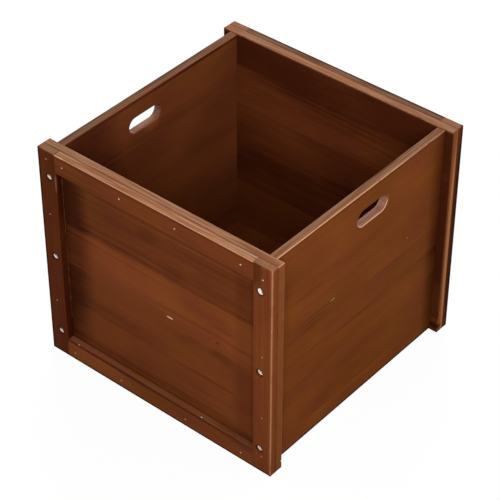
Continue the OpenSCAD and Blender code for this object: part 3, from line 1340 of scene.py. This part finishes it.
@dataclass
class Studio:
    """A pale floor, a white backdrop and soft light from above and behind."""

    softboxes: tuple[Softbox, ...] = (
        Softbox("back_softbox", 130.0, 42.0, 2.4, 1.5, 0.9, 12.0),
        Softbox("right_softbox", 66.0, 22.0, 1.8, 0.8, 0.8, 4.6),
        Softbox("front_softbox", -52.0, 34.0, 1.2, 0.45, 0.45, 12.4),
    )
    floor_half: float = 6.0
    floor_bounce: Colour = (0.20, 0.20, 0.20)
    floor_mirrored: Colour = (0.08, 0.07, 0.06)
    floor_seen: Colour = (0.92, 0.92, 0.92)
    floor_white: float = 0.945
    ambient: float = 0.55

    def build(self) -> None:
        """Adds the floor, the backdrop, the light and the camera."""
        self.floor()
        self.backdrop()
        low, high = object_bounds()
        for softbox in self.softboxes:
            softbox.light((low + high) / 2)
        Camera().build()
        bpy.context.scene.view_settings.view_transform = "Standard"

    def floor(self) -> None:
        """Adds the floor, which the camera sees as white, with the crate's shadow on it."""
        deselect()
        bpy.ops.mesh.primitive_plane_add(size=2 * self.floor_half)
        floor = bpy.context.object
        floor.name = "studio_floor"
        material, matt = new_material("studio_floor", 0.0)
        matt.inputs["Roughness"].default_value = 1.0
        recipe = Recipe(material.node_tree)
        path = recipe.node("ShaderNodeLightPath").outputs
        seen = path["Is Camera Ray"]
        colour = recipe.blend(path["Is Glossy Ray"], self.floor_bounce, self.floor_mirrored)
        recipe.feed(matt.inputs["Base Color"], recipe.blend(seen, colour, self.floor_seen))
        white = recipe.node("ShaderNodeEmission")
        mix = recipe.node("ShaderNodeMixShader", recipe.times(seen, self.floor_white),
                          matt.outputs["BSDF"], white.outputs["Emission"])
        recipe.feed(material.node_tree.nodes["Material Output"].inputs["Surface"], mix.outputs[0])
        floor.data.materials.append(material)
        floor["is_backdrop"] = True

    def backdrop(self) -> None:
        """Makes the world white to the eye and in reflections, and a soft grey light."""
        world = bpy.data.worlds.new("studio")
        bpy.context.scene.world = world
        world.use_nodes = True
        recipe = Recipe(world.node_tree)
        sky = world.node_tree.nodes["Background"]
        path = recipe.node("ShaderNodeLightPath").outputs
        seen = recipe.math("MAXIMUM", path["Is Camera Ray"], path["Is Glossy Ray"])
        seen = recipe.math("MAXIMUM", seen, path["Is Transmission Ray"])
        recipe.feed(sky.inputs["Strength"], recipe.stretch(seen, self.ambient, 1.0))
        sky.inputs["Color"].default_value = (1.0, 1.0, 1.0, 1.0)


# ---- Crate ----

FRONT_PANEL_MARKS = (
    # The first four marks are painted shade: beside the left stile, beside the right stile, in the
    # bottom groove's open end, and under the top rail.
    Mark(DARK, (-0.160, -0.1775, 0.200), (0.055, 0.01, 0.27), 0.52, 0.34),
    Mark(DARK, (0.1415, -0.1775, 0.166), (0.030, 0.01, 0.40), 0.17),
    Mark(DARK, (0.189, -0.1655, 0.008), (0.004, 0.0024, 0.018), 0.90, 0.5),
    Mark(DARK, (0.000, -0.1775, 0.2915), (0.30, 0.004, 0.0045), 0.16, 0.6),
    Mark(DARK, (-0.016, -0.1775, 0.272), (0.028, 0.01, 0.018), 0.10),
    Mark(DARK, (0.021, -0.1775, 0.235), (0.034, 0.01, 0.016), 0.12),
    Mark(DARK, (0.100, -0.1775, 0.240), (0.070, 0.01, 0.070), 0.05),
    Mark(DARK, (-0.095, -0.1775, 0.262), (0.065, 0.01, 0.035), 0.10),
    Mark(DARK, (0.075, -0.1775, 0.200), (0.075, 0.01, 0.035), 0.09),
    Mark(PALE, (-0.047, -0.1775, 0.188), (0.095, 0.01, 0.040), 0.08),
    Mark(PALE, (-0.065, -0.1775, 0.135), (0.080, 0.01, 0.040), 0.10),
    Mark(PALE, (-0.090, -0.1775, 0.070), (0.065, 0.01, 0.040), 0.11),
    Mark(DARK, (0.103, -0.1775, 0.1865), (0.036, 0.01, 0.004), 0.20),
    Mark(DARK, (0.103, -0.1775, 0.1415), (0.032, 0.01, 0.011), 0.20),
    Mark(DARK, (0.077, -0.1775, 0.0925), (0.080, 0.01, 0.003), 0.18),
    Mark(DARK, (-0.091, -0.1775, 0.0935), (0.034, 0.01, 0.0025), 0.15),
    Mark(DARK, (0.091, -0.1775, 0.0665), (0.065, 0.01, 0.003), 0.15),
    Mark(DARK, (0.061, -0.1775, 0.0435), (0.090, 0.01, 0.004), 0.15),
    Mark(KNOT, (0.095, -0.1775, 0.1625), (0.0032, 0.004, 0.0022), 0.8),
    Mark(SCRATCH, (0.0165, -0.1775, 0.1597), (0.0060, 0.003, 0.0015), 1.0, 0.75),
)
BACK_PANEL_MARKS = (
    Mark(DARK, (0.120, -0.1775, 0.210), (0.060, 0.01, 0.030), 0.22),
    Mark(DARK, (-0.060, -0.1775, 0.118), (0.070, 0.01, 0.005), 0.24),
    Mark(PALE, (0.020, -0.1775, 0.265), (0.090, 0.01, 0.030), 0.20),
    Mark(KNOT, (-0.085, -0.1775, 0.215), (0.0036, 0.006, 0.0026), 0.9),
    # Painted shade on the inner face: over all of it, taken off a strip along its bottom, deeper
    # towards its top, and deepest on the overhangs past the side boards.
    Mark(DARK, (0.0, -0.1655, 0.166), (0.60, 0.0025, 0.60), 0.34, 0.8),
    Mark(PALE, (0.0, -0.1655, 0.014), (0.60, 0.0025, 0.0145), 0.34, 0.85),
    Mark(DARK, (0.0, -0.1655, 0.345), (0.60, 0.0025, 0.17), 0.62, 0.2),
    Mark(DARK, (-0.189, -0.1655, 0.166), (0.018, 0.0025, 0.60), 0.66, 0.7),
    Mark(DARK, (0.189, -0.1655, 0.166), (0.018, 0.0025, 0.60), 0.66, 0.7),
    Mark(DARK, (-0.189, -0.1655, 0.145), (0.004, 0.0045, 0.220), 0.60, 0.5),
    # Painted shade in the bottom groove's open end.
    Mark(DARK, (-0.184, -0.1665, 0.011), (0.014, 0.0100, 0.0070), 0.90, 0.6),
    Mark(PALE, (-0.189, -0.1755, 0.145), (0.004, 0.0065, 0.220), 0.72, 0.5),
)
FRONT_FIRST_MARKS = (
    Mark(SCRATCH, (-0.1602, -0.1885, 0.287), (0.0013, 0.003, 0.018), 0.16),
    # Painted shade on the stile's inner side face, beside the panel.
    Mark(DARK, (-0.1600, -0.1810, 0.160), (0.004, 0.009, 0.235), 0.50, 0.6),
)
FRONT_SECOND_MARKS = (
    # Painted shade on the stile's face beside the top rail.
    Mark(DARK, (0.1620, -0.1885, 0.322), (0.014, 0.012, 0.036), 0.32),
    Mark(PALE, (0.1890, -0.1830, 0.166), (0.003, 0.0060, 0.40), 0.12),
)
FRONT_LOW_MARKS = (
    Mark(DARK, (0.0, -0.1885, 0.029), (0.30, 0.0026, 0.0026), 0.82, 0.45),
    # Painted shade on the rail's top and the panel above it, towards the right stile.
    Mark(DARK, (0.145, -0.1830, 0.029), (0.075, 0.014, 0.012), 0.32),
    Mark(PALE, (-0.100, -0.1885, 0.014), (0.090, 0.004, 0.030), 0.25),
)
FRONT_TOP_MARKS = (
    # A painted highlight on the top front edge at the rail's left end.
    Mark(SCRATCH, (-0.1520, -0.1885, 0.3330), (0.0140, 0.0013, 0.0013), 0.9, 0.6),
    Mark(DARK, (0.0, -0.1885, 0.3299), (0.30, 0.0020, 0.0013), 0.32, 0.4),
)
BACK_FIRST_MARKS = (
    Mark(DARK, (-0.1890, -0.1860, 0.145), (0.004, 0.009, 0.215), 0.42, 0.6),
)
RIGHT_SIDE_MARKS = (
    Mark(DARK, (0.177, -0.090, 0.1985), (0.01, 0.066, 0.0022), 0.26),
    Mark(DARK, (0.177, -0.100, 0.1920), (0.01, 0.060, 0.0018), 0.24),
    Mark(DARK, (0.177, -0.095, 0.1860), (0.01, 0.064, 0.0018), 0.22),
    Mark(DARK, (0.177, -0.105, 0.1805), (0.01, 0.055, 0.0018), 0.22),
    Mark(DARK, (0.177, 0.055, 0.1780), (0.01, 0.070, 0.0022), 0.13),
    Mark(DARK, (0.177, -0.090, 0.1450), (0.01, 0.060, 0.0018), 0.22),
    Mark(DARK, (0.177, -0.005, 0.1385), (0.01, 0.065, 0.0021), 0.26),
    Mark(DARK, (0.177, 0.080, 0.1440), (0.01, 0.055, 0.0018), 0.18),
    Mark(DARK, (0.177, -0.107, 0.2400), (0.01, 0.050, 0.0035), 0.18),
    Mark(DARK, (0.177, -0.110, 0.2850), (0.01, 0.070, 0.0500), 0.08),
    Mark(PALE, (0.177, 0.100, 0.2800), (0.01, 0.060, 0.0600), 0.12),
    Mark(DARK, (0.1665, 0.0, 0.332), (0.006, 0.30, 0.004), 0.42),
    # Painted shade on the outer face beside the back end.
    Mark(DARK, (0.177, 0.176, 0.130), (0.014, 0.040, 0.36), 0.45),
    Mark(SCRATCH, (0.177, -0.0565, 0.1990), (0.002, 0.0070, 0.0009), 0.7),
    Mark(SCRATCH, (0.177, 0.0970, 0.2015), (0.002, 0.0022, 0.0010), 0.5),
    # A painted highlight on the slot's rim at its back end.
    Mark(PALE, (0.171, 0.0440, 0.2920), (0.012, 0.0110, 0.0130), 0.75, 0.6),
    Mark(DARK, (0.177, 0.145, 0.332), (0.0030, 0.090, 0.0030), 0.40, 0.5),
    Mark(DARK, (0.177, 0.0, 0.3290), (0.0020, 0.30, 0.0014), 0.22, 0.4),
)
LEFT_SIDE_MARKS = (
    Mark(DARK, (-0.1755, 0.0, 0.332), (0.0060, 0.30, 0.004), 0.40),
    Mark(DARK, (-0.165, 0.0, 0.3285), (0.0020, 0.30, 0.0036), 0.45, 0.5),
    # Painted shade on the inner face's front part.
    Mark(DARK, (-0.165, -0.130, 0.240), (0.006, 0.110, 0.22), 0.42),
    Mark(DARK, (-0.165, -0.020, 0.150), (0.006, 0.060, 0.004), 0.20),
    Mark(DARK, (-0.165, -0.030, 0.275), (0.006, 0.150, 0.085), 0.20),
    Mark(DARK, (-0.165, 0.110, 0.210), (0.006, 0.070, 0.060), 0.14),
    Mark(PALE, (-0.171, -0.0060, 0.2850), (0.012, 0.0260, 0.0220), 0.35, 0.6),
)


@dataclass(frozen=True)
class Crate:
    """The whole crate: two framed ends, two side boards, a bottom and the fasteners."""

    finishes: Finishes = Finishes()
    front: FramedEnd = FramedEnd(
        "front", 1864,
        panel=Look(top_tone=0.77, rub=0.8, marks=FRONT_PANEL_MARKS),
        first=Look(0.60, 0.76, rub=0.15, marks=FRONT_FIRST_MARKS),
        second=Look(0.97, 0.64, rub=0.6, rub_width=1.5, marks=FRONT_SECOND_MARKS),
        # The top rail's pale top edge is wear and a painted highlight.
        top=Look(1.02, 0.98, rub=1.1, rub_width=0.75, bare_edge_and_highlight=0.5, marks=FRONT_TOP_MARKS),
        low=Look(1.06, 0.94, top_wear=0.15, marks=FRONT_LOW_MARKS))
    back: FramedEnd = FramedEnd(
        "back", 30,
        panel=Look(1.08, 0.80, rub=0.8, marks=BACK_PANEL_MARKS),
        first=Look(0.80, 0.74, rub=0.5, marks=BACK_FIRST_MARKS),
        second=Look(0.90, 0.72, rub=0.6, rub_width=1.5),
        # The top rail's pale top edge is wear and a painted highlight.
        top=Look(0.85, 0.50, rub=1.1, rub_width=0.75, bare_edge_and_highlight=0.5),
        low=Look(0.95, 0.90, top_wear=0.15),
        top_shaded_edges=(Side.BACK, Side.TOP))
    sides: SideBoards = SideBoards(
        left=Look(top_tone=0.54, top_wear=0.8, rub=0.20, marks=LEFT_SIDE_MARKS),
        # The right board's pale edges are wear and a painted highlight.
        right=Look(top_tone=0.64, rub_width=0.85, bare_edge_and_highlight=0.7, marks=RIGHT_SIDE_MARKS))
    bottom: Bottom = Bottom()
    fasteners: Fasteners = Fasteners()
    glue: Glue = Glue()

    def dress(self, nodes: dict[str, bpy.types.Object]) -> None:
        """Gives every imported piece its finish, and adds the glue.

        Args:
            nodes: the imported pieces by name.
        """
        effects = Effects()
        for group in (self.front, self.back, self.sides, self.bottom):
            for board, finish in group.boards():
                material = getattr(self.finishes, finish).dress(board, effects)
                self.coat(nodes[board.node], material)
        # Painted shade on the screw heads, and rust on the brads.
        head_shade = self.front.screw_head_shade() + self.back.screw_head_shade()
        rust = self.front.brad_rust() + self.back.brad_rust()
        for names, finish, marks in ((self.fasteners.screws, self.finishes.screws, head_shade),
                                     (self.fasteners.brads, self.finishes.brads, rust)):
            material = finish.dress(effects, marks)
            for name in names:
                self.coat(nodes[name], material)
        self.glue.build(self.finishes.glue.dress(effects), self.finishes.specks.dress(effects))

    def coat(self, piece: bpy.types.Object, material: bpy.types.Material) -> None:
        """Puts a material on every slot of a piece, and logs it."""
        for slot in piece.material_slots:
            slot.material = material
        log.info("%s: %s", piece.name, material.name)


def main() -> None:
    """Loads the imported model, dresses it and sets up the studio."""
    logging.basicConfig(level=logging.INFO, format="%(message)s")
    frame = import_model()
    Crate().dress(frame["nodes"])
    Studio().build()


if __name__ == "__main__":
    main()
